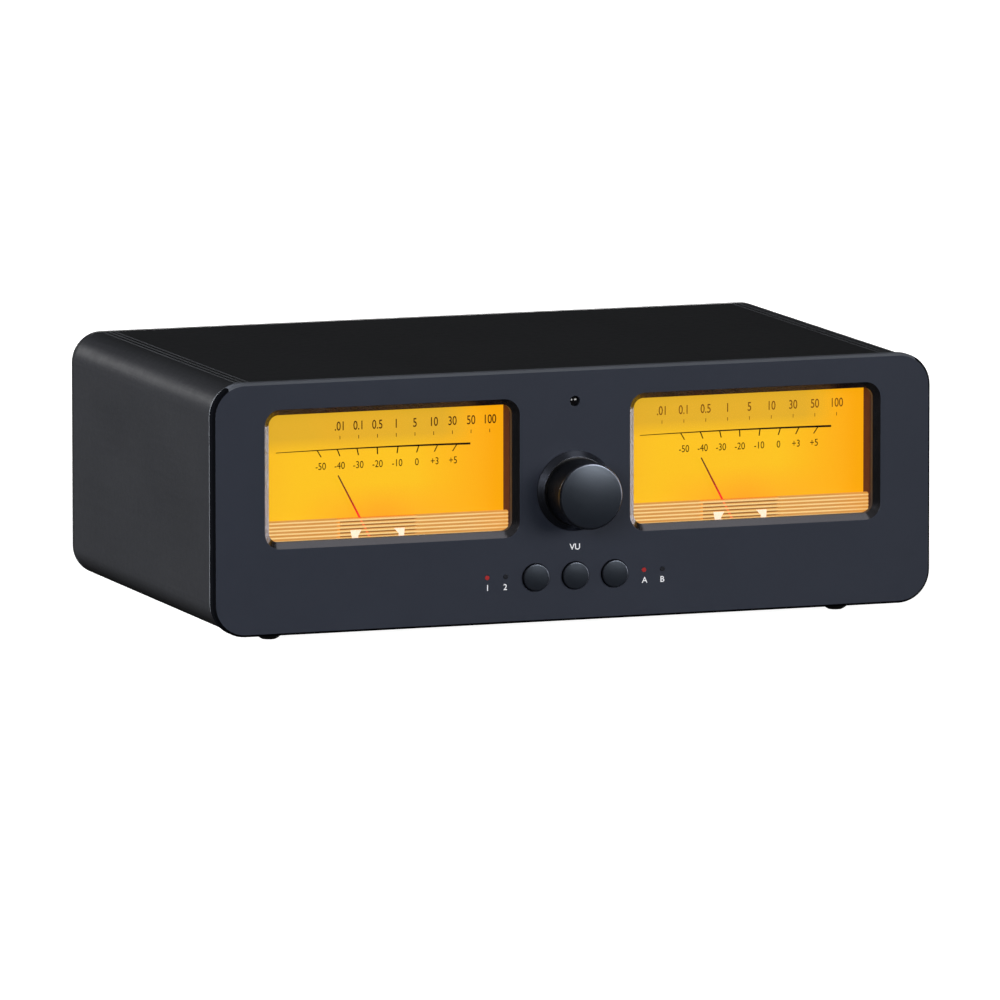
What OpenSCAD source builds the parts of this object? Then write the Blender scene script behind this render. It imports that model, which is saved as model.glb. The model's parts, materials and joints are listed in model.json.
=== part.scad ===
// Integrated stereo amplifier with two lit level meters.
// Frame: +X to the right as seen from the front, +Y to the rear, +Z up. Millimetres.
// Origin: the middle of the case's footprint, on the plane that the feet stand on.
// Depths named *_y are measured from the front face of the front plate, towards the rear.
// Heights named *_h are measured from the bottom edge of the front plate, upwards.

/* [Case] */
// Width of the front plate
plate_w = 260; // [250:1:280]
// Height of the front plate
plate_h = 86.7; // [86:0.1:92]
// Corner radius of the front plate
plate_r = 11.4; // [10:0.1:14]
// Thickness of the front plate
plate_t = 4; // [4:0.5:5]
// Bevel round the front edge of the front plate
plate_bevel = 0.8; // [0.3:0.1:1.2]
// Depth of the case, from the front plate's face to the rear panel's back
case_d = 157; // [155:1:180]
// How far the sleeve stands back from the front plate's outline
sleeve_inset = 0.7; // [0.5:0.1:1.5]
// Wall thickness of the extruded sleeve
sleeve_wall = 2.2; // [2:0.1:2.6]
// Distance of the innermost groove on top from the middle
groove_x = 114.7; // [105:0.1:115]
// Spacing of the three grooves
groove_pitch = 2.2; // [1.8:0.1:2.2]
// Width and depth of each groove
groove_size = 0.6; // [0.3:0.1:0.8]
// Thickness of the rear panel
rear_t = 2.5; // [2:0.5:3]
// Height of the rubber feet
foot_h = 4; // [3:0.5:8]
// Diameter of the rubber feet where they meet the case
foot_d = 11.4; // [9:0.1:14]
// Distance of each foot from the middle, sideways
foot_x = 103.2; // [90:0.1:110]
// Distance of each foot from the nearer end of the case
foot_y = 21.3; // [16:0.1:25]

/* [Meters] */
// Distance of each meter window from the middle
meter_x = 65.8; // [64:0.1:67]
// Height of the middle of the meter windows
window_h = 53.4; // [52:0.1:54]
// Width of a meter window at the plate's face
window_w = 91.6; // [88:0.1:92]
// Height of a meter window at the plate's face
window_tall = 47.7; // [44:0.1:48]
// Bevel round a meter window
window_bevel = 2.1; // [0.5:0.1:2.5]
// Depth of the dial's face
dial_y = 11.4; // [11:0.1:12]
// Height of the needle's pivot
pivot_h = 21.5; // [21:0.1:22]
// Length of the needle from its pivot
needle_len = 35; // [30:0.5:38]
// Lean of the needle at rest, to the left of upright, in degrees
needle_lean = 27.7; // [20:0.1:45]

/* [Volume control] */
// Diameter of the volume knob
knob_d = 23; // [20:0.5:26]
// How far the knob's face stands in front of the plate
knob_proud = 17; // [14:0.5:20]
// Height of the knob's axis
knob_h = 44.7; // [43:0.1:46]
// Diameter of the collar round the knob
collar_d = 27.6; // [27:0.1:30]
// How far the collar stands in front of the plate
collar_t = 2.2; // [1.5:0.1:2.6]

/* [Buttons and indicators] */
// Diameter of a button
button_d = 9.4; // [9:0.1:11]
// Spacing of the three buttons
button_pitch = 14.3; // [13:0.1:15]
// Height of the buttons' axes
button_h = 15.5; // [14:0.1:15.5]
// How far a button stands in front of the plate
button_proud = 1.3; // [1:0.1:2.5]
// How far a button travels
button_travel = 0.8; // [0.3:0.1:1]
// Distance of the nearer pair of indicators from the middle
indicator_x = 25.1; // [25:0.1:26]
// Spacing of the two indicators in a pair
indicator_pitch = 6.7; // [5:0.1:8]
// Height of the indicators
indicator_h = 16.2; // [15:0.1:16.4]
// Diameter of an indicator
indicator_d = 1.5; // [1:0.1:2]
// Height of the remote control window
remote_h = 75.5; // [72:0.1:76]
// Diameter of the remote control window
remote_d = 3.4; // [3:0.1:5]

/* [Rear panel] */
// How far the speaker terminals stand behind the rear panel
terminal_proud = 17; // [17:0.5:19]
// Spacing of the speaker terminals, sideways and upwards
terminal_pitch = 19; // [18:0.5:20]
// Diameter of a terminal's cap
cap_d = 14.4; // [13:0.1:15]
// Diameter of a terminal's threaded stud
stud_d = 5.9; // [5.5:0.1:6]
// Diameter of the banana plug socket in the stud
socket_d = 4; // [4:0.1:4.2]
// Outer diameter of a phono socket
phono_d = 8.3; // [8:0.1:8.6]

/* [Hidden] */
$fn = 64;

// Case
front_y = -case_d / 2;
sleeve_w = plate_w - 2 * sleeve_inset;
sleeve_tall = plate_h - 2 * sleeve_inset;
sleeve_r = plate_r - sleeve_inset;
sleeve_end_y = case_d - rear_t;
mid_h = plate_h / 2;
floor_h = sleeve_inset + sleeve_wall;
boss_r = 3.2;
boss_reach = (sleeve_r - sleeve_wall - boss_r + 0.1) * sin(45);
boss_x = sleeve_w / 2 - sleeve_r + boss_reach;
boss_up = sleeve_tall / 2 - sleeve_r + boss_reach;
m3_hole_r = 1.5;
m3_r = 1.45;
pan_head_r = 2.8;
pan_head_t = 1.8;
carrier_t = 3;
carrier_gap = 0.3;
carrier_end_y = plate_t + carrier_t;
plate_screw_spots = [
    for (s = [-1, 1], p = [[120.5, 43], [100, 9.5], [40, 9], [13.4, 66]]) [s * p.x, p.y]
];

// Meters
lip = 1.2;                  // the housing's front flange, trapped behind the front plate
window_inner_r = 3.5;
housing_w = window_w + 5;
housing_low_h = 24;
housing_top_h = 80.2;
housing_end_y = 22;
housing_wall = 1.6;
sump_w = 38;                // the pocket that holds the lower half of the movement
sump_low_h = 11;
glass_t = 1.5;
rebate_y = plate_t + lip + 0.4;
cavity_w = housing_w - 8.6;
cavity_low_h = housing_low_h + 3.1;
cavity_top_h = housing_top_h - 3.1;
dial_t = 1;
dial_gap = 0.1;
notch_w = 30;
notch_top_h = 36.6;
bar_y = 6.4;
bar_t = 1.6;
bar_low_h = 30.2;
bar_rib_r = 0.5;
bar_rib_pitch = 1.25;
bar_rib_low_h = 31.15;
bar_ribs = 6;
needle_y = 9.6;
needle_t = 0.3;
pivot_r = 0.5;
movement_y = dial_y + 0.2;
movement_w = 29.4;
movement_low_h = 13.2;

// Volume control
shaft_r = 2.98;
shaft_hole_r = 3;
bush_r = 3.5;
knob_back_y = -collar_t - 0.2;
collar_floor = 0.4;
pot_y = 8.5;

// Boards
pcb_t = 1.6;
control_y = 16;
tray_t = 1.2;
tray_top_h = floor_h + tray_t;
support_tall = 6;
main_x = 50;
main_y = 93;
main_w = 124;
main_d = 106;
main_low_h = tray_top_h + support_tall;
main_top_h = main_low_h + pcb_t;

// Toroidal transformer
toroid_x = -62;
toroid_y = 90;
toroid_r = 42;
toroid_tall = 38;
toroid_hole_r = 13;
pad_t = 1.5;

// Buttons
button_gap = 0.2;           // round a button in the front plate
button_edge = 0.4;          // rounding of a button's rim

// Rear panel
inlet_x = -95;
inlet_h = 29;
rocker_h = 62;
phono_columns = [74, 94];
phono_spots = [for (x = phono_columns, h = [33, 55]) [x, h]];
phono_r = phono_d / 2;
phono_len = 8.3;            // the part of the barrel that a plug grips
phono_body_r = phono_r - 0.3;
phono_flange_t = 1.2;
phono_flange_gap = 0.2;     // between the insulator's flange and the barrel
phono_barrel_y = case_d + phono_flange_t + phono_flange_gap;
phono_end_y = phono_barrel_y + phono_len;
terminal_columns = [for (i = [0:3]) -10 + i * terminal_pitch];
terminal_low_h = 26;
terminal_rows = [terminal_low_h + 1.4 * terminal_pitch, terminal_low_h];
base_t = 3;
stud_recess = 1.5;          // the stud ends this far inside the cap's face
stud_end_y = case_d + terminal_proud - stud_recess;
socket_len = 12;

function up(h) = foot_h + h;

// ---------------------------------------------------------------- building blocks

// A solid whose outline lies in the front plane (x, height), from depth y0 to y1
module from_outline(y0, y1) {
    translate([0, front_y + y0, foot_h])
        rotate([90, 0, 0])
            translate([0, 0, y0 - y1])
                linear_extrude(y1 - y0) children();
}

// A cylinder or cone along the depth, from y0 to y1
module rod(x, h, y0, y1, r0, r1 = undef) {
    translate([x, front_y + y0, up(h)])
        rotate([-90, 0, 0])
            cylinder(h = y1 - y0, r1 = r0, r2 = r1 == undef ? r0 : r1);
}

// A box between two corners given as [x, depth, height]
module block(a, b) {
    translate([a.x, front_y + a.y, up(a.z)])
        cube([b.x - a.x, b.y - a.y, b.z - a.z]);
}

module rounded(w, tall, r) {
    square([w - 2 * r, tall], center = true);
    square([w, tall - 2 * r], center = true);
    for (sx = [-1, 1], sz = [-1, 1])
        translate([sx * (w / 2 - r), sz * (tall / 2 - r)])
            circle(r);
}

// A rounded slab whose outline shrinks by b on every side over its thickness t
module frustum(w, tall, r, t, b) {
    for (sx = [-1, 1], sz = [-1, 1])
        translate([sx * (w / 2 - r), sz * (tall / 2 - r), 0])
            cylinder(h = t, r1 = r, r2 = r - b);
    rotate([90, 0, 0])
        linear_extrude(tall - 2 * r, center = true)
            polygon([[-w / 2, 0], [w / 2, 0], [w / 2 - b, t], [b - w / 2, t]]);
    rotate([90, 0, 90])
        linear_extrude(w - 2 * r, center = true)
            polygon([[-tall / 2, 0], [tall / 2, 0], [tall / 2 - b, t], [b - tall / 2, t]]);
}

module mirrored() {
    children();
    mirror([1, 0, 0]) children();
}

module at_meter(side) {
    translate([side * meter_x, 0, 0]) children();
}

// A pan head screw along the depth; dir is 1 when it points to the rear
module pan_screw(x, h, y, len, dir) {
    translate([x, front_y + y, up(h)])
        rotate([-90 * dir, 0, 0]) {
            cylinder(h = len, r = m3_r);
            difference() {
                translate([0, 0, -pan_head_t]) cylinder(h = pan_head_t, r = pan_head_r);
                for (turn = [0, 90])
                    rotate([0, 0, turn])
                        translate([-1.6, -0.35, -pan_head_t - 1]) cube([3.2, 0.7, 1.9]);
            }
        }
}

// A round cable through a list of points, with a bead at each bend
module cable(path, r) {
    for (i = [0:len(path) - 2]) {
        step = path[i + 1] - path[i];
        translate([path[i].x, front_y + path[i].y, up(path[i].z)]) {
            rotate([0, acos(step.z / norm(step)), atan2(step.y, step.x)])
                cylinder(h = norm(step), r = r);
            if (i > 0) sphere(r * 1.05);
        }
    }
}

// ---------------------------------------------------------------- case

module case_outline(inset = 0) {
    translate([0, mid_h])
        rounded(sleeve_w - 2 * inset, sleeve_tall - 2 * inset, sleeve_r - inset);
}

module window_opening() {
    inner_w = window_w - 2 * window_bevel;
    inner_tall = window_tall - 2 * window_bevel;
    cut = 0.1;
    from_outline(-1, plate_t + 1)
        translate([0, window_h])
            rounded(inner_w, inner_tall, window_inner_r);
    translate([0, front_y - cut, up(window_h)])
        rotate([-90, 0, 0])
            frustum(window_w + 2 * cut, window_tall + 2 * cut, window_inner_r + window_bevel + cut,
                window_bevel + cut, window_bevel + cut);
}

module front_plate() {
    color("#31353f")
    difference() {
        union() {
            from_outline(plate_bevel, plate_t)
                translate([0, mid_h])
                    rounded(plate_w, plate_h, plate_r);
            translate([0, front_y + plate_bevel, up(mid_h)])
                rotate([90, 0, 0])
                    frustum(plate_w, plate_h, plate_r, plate_bevel, plate_bevel);
        }
        for (side = [-1, 1]) at_meter(side) window_opening();
        rod(0, knob_h, -1, plate_t + 1, bush_r + 0.1);
        for (i = [-1:1]) rod(i * button_pitch, button_h, -1, plate_t + 1, button_d / 2 + button_gap);
        mirrored()
            for (i = [0, 1])
                rod(indicator_x + i * indicator_pitch, indicator_h, -1, plate_t + 1, indicator_d / 2 + 0.1);
        rod(0, remote_h, -1, plate_t + 1, remote_d / 2 + 0.1);
        for (p = plate_screw_spots) rod(p.x, p.y, plate_t - 2.6, plate_t + 1, m3_hole_r);
    }
}

module case_sleeve() {
    slot_w = 3;
    color("#2b2c2f")
    difference() {
        union() {
            difference() {
                from_outline(plate_t, sleeve_end_y) case_outline();
                from_outline(plate_t - 1, sleeve_end_y + 1) case_outline(sleeve_wall);
            }
            mirrored()
                for (s = [-1, 1])
                    rod(boss_x, mid_h + s * boss_up, carrier_end_y, sleeve_end_y, boss_r);
            mirrored() block([115.4, carrier_end_y, floor_h - 0.1], [116.8, sleeve_end_y, tray_top_h + 1.4]);
            mirrored()
                block([113.8, carrier_end_y, tray_top_h + 0.2], [116.8, sleeve_end_y, tray_top_h + 1.4]);
        }
        mirrored()
            for (s = [-1, 1])
                rod(boss_x, mid_h + s * boss_up, carrier_end_y - 1, sleeve_end_y + 1, m3_hole_r);
        mirrored()
            for (i = [0:2], h = [sleeve_inset, plate_h - sleeve_inset])
                translate([groove_x + i * groove_pitch, front_y + case_d / 2, up(h)])
                    rotate([0, 45, 0])
                        cube([groove_size, case_d, groove_size], center = true);
        for (x = [30:8:94], y = [52, 104])
            from_bottom_slot(x, y, slot_w);
        for (x = [-94:8:-30], y = [104])
            from_bottom_slot(x, y, slot_w);
        for (x = [-90, 90], y = [34, 136])
            translate([x, front_y + y, up(0)]) {
                cylinder(h = 10, r = m3_hole_r);
                cylinder(h = sleeve_inset + 1.4, r = pan_head_r + 0.1);
            }
    }
}

// A cooling slot through the sleeve's floor
module from_bottom_slot(x, y, w) {
    len = 32;
    translate([x, front_y + y, up(-1)]) {
        translate([-w / 2, 0, 0]) cube([w, len, 5]);
        for (end = [0, len]) translate([0, end, 0]) cylinder(h = 5, r = w / 2);
    }
}

module rear_panel() {
    color("#222326")
    difference() {
        from_outline(sleeve_end_y, case_d) case_outline();
        mirrored()
            for (s = [-1, 1])
                rod(boss_x, mid_h + s * boss_up, sleeve_end_y - 1, case_d + 1, m3_hole_r + 0.1);
        for (p = phono_spots) rod(p.x, p.y, sleeve_end_y - 1, case_d + 1, 5.2);
        for (x = terminal_columns, h = terminal_rows)
            rod(x, h, sleeve_end_y - 1, case_d + 1, 4.2);
        block([inlet_x - 14, sleeve_end_y - 1, inlet_h - 10.5], [inlet_x + 14, case_d + 1, inlet_h + 10.5]);
        block([inlet_x - 9.6, sleeve_end_y - 1, rocker_h - 6.6], [inlet_x + 9.6, case_d + 1, rocker_h + 6.6]);
        for (x = [-66:6:-30])
            from_outline(sleeve_end_y - 1, case_d + 1)
                translate([x, 42]) rounded(2.6, 40, 1.29);
    }
}

module front_carrier() {
    flange_w = housing_w + 2 * lip + 0.2;
    color("#17181a")
    difference() {
        from_outline(plate_t, carrier_end_y) case_outline(sleeve_wall + carrier_gap);
        for (side = [-1, 1]) at_meter(side) {
            block([-housing_w / 2 - 0.1, 0, housing_low_h - 0.1],
                [housing_w / 2 + 0.1, 30, housing_top_h + 0.1]);
            block([-sump_w / 2 - 0.1, 0, sump_low_h - 0.1], [sump_w / 2 + 0.1, 30, housing_low_h + 1]);
            block([-flange_w / 2, 0, housing_low_h - lip - 0.1],
                [flange_w / 2, plate_t + lip + 0.05, housing_top_h + lip + 0.1]);
        }
        rod(0, knob_h, 0, 30, bush_r + 0.2);
        for (i = [-1:1]) rod(i * button_pitch, button_h, 0, 30, button_d / 2 + 1.4);
        mirrored()
            for (i = [0, 1])
                rod(indicator_x + i * indicator_pitch, indicator_h, 0, 30, indicator_d / 2 + 0.3);
        rod(0, remote_h, 0, 30, remote_d / 2 + 0.3);
        for (p = plate_screw_spots) rod(p.x, p.y, 0, 30, m3_hole_r + 0.1);
        mirrored()
            for (s = [-1, 1]) {
                rod(boss_x, mid_h + s * boss_up, 0, 30, m3_hole_r + 0.05);
                rod(boss_x, mid_h + s * boss_up, plate_t - 0.01, plate_t + 1.55, 3.05, m3_hole_r);
            }
    }
}

module chassis_tray() {
    half = 115.2;
    wall_x = 111.6;
    low = floor_h;
    color("silver")
    difference() {
        union() {
            block([-half, 9, low], [half, 152, tray_top_h]);
            mirrored() block([wall_x, 9, low], [wall_x + tray_t, 152, 9]);
        }
        for (x = [-90, 90], y = [34, 136])
            translate([x, front_y + y, up(0)]) cylinder(h = 10, r = m3_hole_r);
        for (p = support_spots())
            translate([p.x, front_y + p.y, up(0)]) cylinder(h = 10, r = 1.9);
        translate([toroid_x, front_y + toroid_y, up(0)]) cylinder(h = 10, r = 3.1);
        for (x = [30:8:94], y = [52, 104]) from_bottom_slot(x, y, 3);
        for (x = [-94:8:-30], y = [104]) from_bottom_slot(x, y, 3);
    }
}

module rubber_feet() {
    flat_r = 2.4;
    rise = ((foot_d / 2) ^ 2 - flat_r ^ 2 + foot_h ^ 2) / (2 * foot_h);
    dome_r = sqrt(flat_r ^ 2 + rise ^ 2);
    color("#141414")
    for (x = [-foot_x, foot_x], y = [foot_y, case_d - foot_y])
        translate([x, front_y + y, 0])
            rotate_extrude()
                intersection() {
                    translate([0, rise]) circle(dome_r);
                    square([dome_r, foot_h + sleeve_inset]);
                }
}

module tray_screws() {
    color("#3a3a3c")
    for (x = [-90, 90], y = [34, 136])
        translate([x, front_y + y, up(sleeve_inset + 0.1)]) {
            cylinder(h = 5, r = m3_r);
            difference() {
                cylinder(h = 1.3, r = pan_head_r);
                for (turn = [0, 90])
                    rotate([0, 0, turn]) translate([-1.6, -0.35, -1]) cube([3.2, 0.7, 1.9]);
            }
        }
}

module carrier_screws() {
    color("#8d9096")
    mirrored()
        for (s = [-1, 1]) {
            rod(boss_x, mid_h + s * boss_up, plate_t, plate_t + 1.5, 2.95, m3_r);
            rod(boss_x, mid_h + s * boss_up, plate_t + 1, plate_t + 12, m3_r);
        }
}

module plate_screws() {
    color("#8d9096")
    for (p = plate_screw_spots) pan_screw(p.x, p.y, carrier_end_y, carrier_t + 2.4, -1);
}

module rear_screws() {
    color("#3a3a3c")
    mirrored()
        for (s = [-1, 1])
            pan_screw(boss_x, mid_h + s * boss_up, case_d, 10, -1);
}

// ---------------------------------------------------------------- meters

module meter_housing(side) {
    color("#101113")
    at_meter(side)
    difference() {
        union() {
            block([-housing_w / 2, plate_t, housing_low_h], [housing_w / 2, housing_end_y, housing_top_h]);
            block([-housing_w / 2 - lip, plate_t, housing_low_h - lip],
                [housing_w / 2 + lip, plate_t + lip, housing_top_h + lip]);
            block([-sump_w / 2, plate_t + lip, sump_low_h], [sump_w / 2, housing_end_y, housing_low_h + 1]);
        }
        block([-cavity_w / 2, 0, cavity_low_h], [cavity_w / 2, dial_y + dial_t, cavity_top_h]);
        block([-cavity_w / 2 + 2, 0, cavity_low_h + 2], [cavity_w / 2 - 2, 30, cavity_top_h - 2]);
        block([-housing_w / 2 + 2, 0, cavity_low_h - 1.1],
            [housing_w / 2 - 2, rebate_y, cavity_top_h + 1.1]);
        block([-sump_w / 2 + housing_wall, rebate_y, sump_low_h + housing_wall],
            [sump_w / 2 - housing_wall, 30, cavity_low_h + 3]);
    }
}

module meter_glass(side) {
    color("#dfe8ee", 0.3)
    at_meter(side)
        block([-housing_w / 2 + 2.1, plate_t, cavity_low_h - 1],
            [housing_w / 2 - 2.1, plate_t + glass_t, cavity_top_h + 1]);
}

module meter_dial(side) {
    color("#ffb91e")
    at_meter(side)
    difference() {
        block([-cavity_w / 2 + dial_gap, dial_y, cavity_low_h + dial_gap],
            [cavity_w / 2 - dial_gap, dial_y + dial_t, cavity_top_h - dial_gap]);
        block([-notch_w / 2, 0, 0], [notch_w / 2, 30, notch_top_h]);
    }
}

// A clear ribbed bar across the foot of each dial
module meter_light_bars() {
    bar_top_h = bar_rib_low_h + (bar_ribs - 1) * bar_rib_pitch + 0.7;
    color("#ffd9a8", 0.5)
    for (side = [-1, 1]) at_meter(side) {
        block([-cavity_w / 2 + dial_gap, bar_y + bar_rib_r, bar_low_h],
            [cavity_w / 2 - dial_gap, bar_y + bar_rib_r + bar_t, bar_top_h]);
        for (i = [0:bar_ribs - 1])
            translate([0, front_y + bar_y + bar_rib_r, up(bar_rib_low_h + i * bar_rib_pitch)])
                rotate([0, 90, 0])
                    cylinder(h = cavity_w - 2 * dial_gap, r = bar_rib_r, center = true, $fn = 24);
    }
}

module meter_movements() {
    color("#2a211b")
    for (side = [-1, 1]) at_meter(side)
    difference() {
        union() {
            block([-movement_w / 2, movement_y, movement_low_h],
                [movement_w / 2, dial_y + dial_t, notch_top_h - 0.2]);
            block([-notch_w / 2 - 1.8, dial_y + dial_t, movement_low_h],
                [notch_w / 2 + 1.8, 20.5, cavity_low_h + 1.9]);
            rod(0, pivot_h + 5, dial_y, 20.5, 8);
        }
        rod(0, pivot_h, 0, 19, pivot_r + 0.06);
    }
}

// A needle with its hub, its balance tail and the pivot pin that turns in the movement
module needle(side) {
    tip_w = 0.35;
    root_w = 0.9;
    tail = 5;
    color("#9c1a10")
    translate([side * meter_x, front_y + needle_y, up(pivot_h)])
        rotate([0, -needle_lean, 0]) {
            rotate([90, 0, 0])
                translate([0, 0, -needle_t])
                    linear_extrude(needle_t)
                        polygon([[-root_w / 2, -tail], [root_w / 2, -tail], [root_w / 2, 4],
                            [tip_w / 2, needle_len], [-tip_w / 2, needle_len], [-root_w / 2, 4]]);
            translate([-1.4, 0, -tail - 0.6]) cube([2.8, 1, 1.6]);
            rotate([-90, 0, 0]) {
                translate([0, 0, -0.3]) cylinder(h = 1.4, r = 2.1);
                cylinder(h = 8, r = pivot_r);
            }
        }
}

module meter_backlights() {
    color("#e8e4d4")
    for (side = [-1, 1]) at_meter(side) {
        block([-housing_w / 2 + 0.6, housing_end_y, housing_low_h + 0.6],
            [housing_w / 2 - 0.6, housing_end_y + pcb_t, housing_top_h - 0.6]);
        for (x = [-36:12:36], h = [48, 66])
            block([x - 1.5, housing_end_y - 1.2, h - 1.5], [x + 1.5, housing_end_y, h + 1.5]);
    }
}

// ---------------------------------------------------------------- volume control

// Turned shapes start at the plate's face and grow forwards from there
module turned_forward(x, h, y) {
    translate([x, front_y + y, up(h)])
        rotate([90, 0, 0])
            rotate_extrude() children();
}

// Half the section of a turned cap: radius r, length len, a rim rounded by edge, a face domed to dome_r
module domed(r, len, edge, dome_r) {
    side = dome_r - edge;
    rim_y = len - dome_r + sqrt(side ^ 2 - (r - edge) ^ 2);
    square([r, rim_y]);
    intersection() {
        square([(r - edge) * dome_r / side, len]);
        translate([0, len - dome_r]) circle(dome_r, $fn = 512);
    }
    translate([r - edge, rim_y]) circle(edge);
}

module volume_knob() {
    len = knob_proud + knob_back_y;
    r = knob_d / 2;
    color("#24262c")
    difference() {
        turned_forward(0, knob_h, knob_back_y) domed(r, len, 0.9, 75);
        rod(0, knob_h, knob_back_y - 3.5, knob_back_y + 1, r - 2.2);
        rod(0, knob_h, 4 - knob_proud, knob_back_y + 1, shaft_hole_r);
    }
}

module knob_collar() {
    r = collar_d / 2;
    step = 0.4;
    color("#1c1e22")
    turned_forward(0, knob_h, 0)
        difference() {
            polygon([[bush_r + 0.1, 0], [r, 0], [r, step], [r - 1.9, collar_t], [bush_r + 0.1, collar_t]]);
            translate([0, collar_floor]) square([7.4, 3]);
        }
}

module volume_shaft() {
    color("silver")
    rod(0, knob_h, 4.2 - knob_proud, pot_y + 4, shaft_r);
}

module volume_control() {
    color("#6f7a6a")
    difference() {
        union() {
            block([-8, pot_y, knob_h - 9], [8, control_y, knob_h + 9]);
            rod(0, knob_h, -1.9, pot_y, bush_r);
        }
        rod(0, knob_h, -3, pot_y + 4.2, shaft_r + 0.07);
    }
}

module volume_nut() {
    color("#b9b9b4")
    difference() {
        translate([0, front_y - 1.9, up(knob_h)])
            rotate([-90, 0, 0]) cylinder(h = 1.9 - collar_floor, r = 6.2, $fn = 6);
        rod(0, knob_h, -3, 1, bush_r + 0.03);
    }
}

// ---------------------------------------------------------------- buttons, indicators, remote

module button(i) {
    r = button_d / 2;
    flange_y = plate_t + 0.1;
    color("#2d3037")
    union() {
        turned_forward(i * button_pitch, button_h, flange_y)
            domed(r, button_proud + flange_y, button_edge, 45);
        rod(i * button_pitch, button_h, flange_y, flange_y + 1, r + 0.9);
        rod(i * button_pitch, button_h, flange_y + 1, control_y - 3.2, 1.6);
    }
}

module tact_switches() {
    color("#26282b")
    for (i = [-1:1])
        difference() {
            block([i * button_pitch - 3, control_y - 3.5, button_h - 3],
                [i * button_pitch + 3, control_y, button_h + 3]);
            rod(i * button_pitch, button_h, 0, control_y - 3.2 + button_travel + 0.2, 1.75);
        }
}

module indicator_pipes() {
    color("#b3372c")
    mirrored()
        for (i = [0, 1]) {
            x = indicator_x + i * indicator_pitch;
            rod(x, indicator_h, -0.12, control_y - 2, indicator_d / 2);
            rod(x, indicator_h, control_y - 2, control_y, 1.3);
        }
}

module remote_window() {
    color("#0a0a0c")
    union() {
        rod(0, remote_h, 0.9, 8, remote_d / 2);
        translate([0, front_y + 0.9, up(remote_h)])
            intersection() {
                translate([0, 2.2, 0]) sphere(2.7);
                rotate([90, 0, 0]) cylinder(h = 1, r = remote_d / 2);
            }
    }
}

module remote_receiver() {
    color("#1a1a1a")
    block([-2.8, control_y - 4, remote_h - 3.6], [2.8, control_y, remote_h + 3.2]);
}

module control_board() {
    color("#1f5a34")
    from_outline(control_y, control_y + pcb_t)
        polygon([[-36, 6.5], [36, 6.5], [36, 18.6], [15.5, 18.6], [15.5, 80],
            [-15.5, 80], [-15.5, 18.6], [-36, 18.6]]);
}

// ---------------------------------------------------------------- amplifier and power supply

function support_spots() = [
    for (sx = [-1, 1], sy = [-1, 1])
        [main_x + sx * (main_w / 2 - 5), main_y + sy * (main_d / 2 - 5)]
];

module main_board() {
    color("#1f5a34")
    difference() {
        block([main_x - main_w / 2, main_y - main_d / 2, main_low_h],
            [main_x + main_w / 2, main_y + main_d / 2, main_top_h]);
        for (p = support_spots())
            translate([p.x, front_y + p.y, up(0)]) cylinder(h = 30, r = 1.6);
    }
}

module board_supports() {
    color("#e6e2d6")
    for (p = support_spots())
        translate([p.x, front_y + p.y, up(tray_top_h)]) {
            cylinder(h = support_tall, r = 3.2);
            translate([0, 0, -tray_t]) cylinder(h = tray_t + 0.1, r = 1.8);
            cylinder(h = support_tall + pcb_t + 2, r = 1.5);
        }
}

module heatsink() {
    low = main_top_h;
    color("#4a4d52")
    union() {
        block([84, 48, low], [88, 128, low + 50]);
        for (i = [0:9])
            block([87.9, 48 + i * 8.6, low], [108, 50.2 + i * 8.6, low + 50]);
    }
}

module output_transistors() {
    color("#19191b")
    for (i = [0:3])
        block([79, 53 + i * 19, main_top_h + 6], [84, 69 + i * 19, main_top_h + 27]);
}

module filter_capacitors() {
    color("#1d2733")
    for (x = [4, 30], y = [55, 81])
        translate([x, front_y + y, up(main_top_h)])
            difference() {
                cylinder(h = 35, r = 11);
                for (turn = [45, 135])
                    rotate([0, 0, turn]) translate([-7, -0.2, 34.6]) cube([14, 0.4, 1]);
            }
}

module output_inductors() {
    color("#a9642c")
    for (i = [0:3])
        translate([58, front_y + 52 + i * 19, up(main_top_h)])
            difference() {
                cylinder(h = 13, r = 8.5);
                translate([0, 0, -1]) cylinder(h = 15, r = 3);
            }
}

module speaker_relays() {
    color("#1c3f6e")
    for (x = [-4, 18, 40, 62])
        block([x - 9, 119, main_top_h], [x + 9, 137, main_top_h + 12.5]);
}

module toroid_transformer() {
    edge = 6;
    color("#b98a2f")
    translate([toroid_x, front_y + toroid_y, up(tray_top_h + pad_t)])
        rotate_extrude()
            union() {
                translate([toroid_hole_r, edge])
                    square([toroid_r - toroid_hole_r, toroid_tall - 2 * edge]);
                translate([toroid_hole_r + edge, 0])
                    square([toroid_r - toroid_hole_r - 2 * edge, toroid_tall]);
                for (r = [toroid_hole_r + edge, toroid_r - edge], z = [edge, toroid_tall - edge])
                    translate([r, z]) circle(edge);
            }
}

// Rubber pads, dished washer, bolt and nut that hold the transformer to the tray
module toroid_clamp() {
    pad_r = 36;
    top = pad_t + toroid_tall + pad_t;
    color("#77797d")
    translate([toroid_x, front_y + toroid_y, up(tray_top_h)]) {
        difference() {
            cylinder(h = pad_t, r = pad_r);
            translate([0, 0, -1]) cylinder(h = 5, r = 4);
        }
        translate([0, 0, pad_t + toroid_tall])
            difference() {
                cylinder(h = pad_t, r = pad_r - 3);
                translate([0, 0, -1]) cylinder(h = 5, r = 4);
            }
        translate([0, 0, top])
            difference() {
                cylinder(h = 2.4, r1 = pad_r - 4, r2 = pad_r - 9);
                translate([0, 0, -1]) cylinder(h = 5, r = 3.1);
            }
        translate([0, 0, -tray_t]) cylinder(h = top + tray_t + 2.4, r = 3);
        translate([0, 0, top + 2.4]) cylinder(h = 4, r = 5.5, $fn = 6);
    }
}

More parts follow.
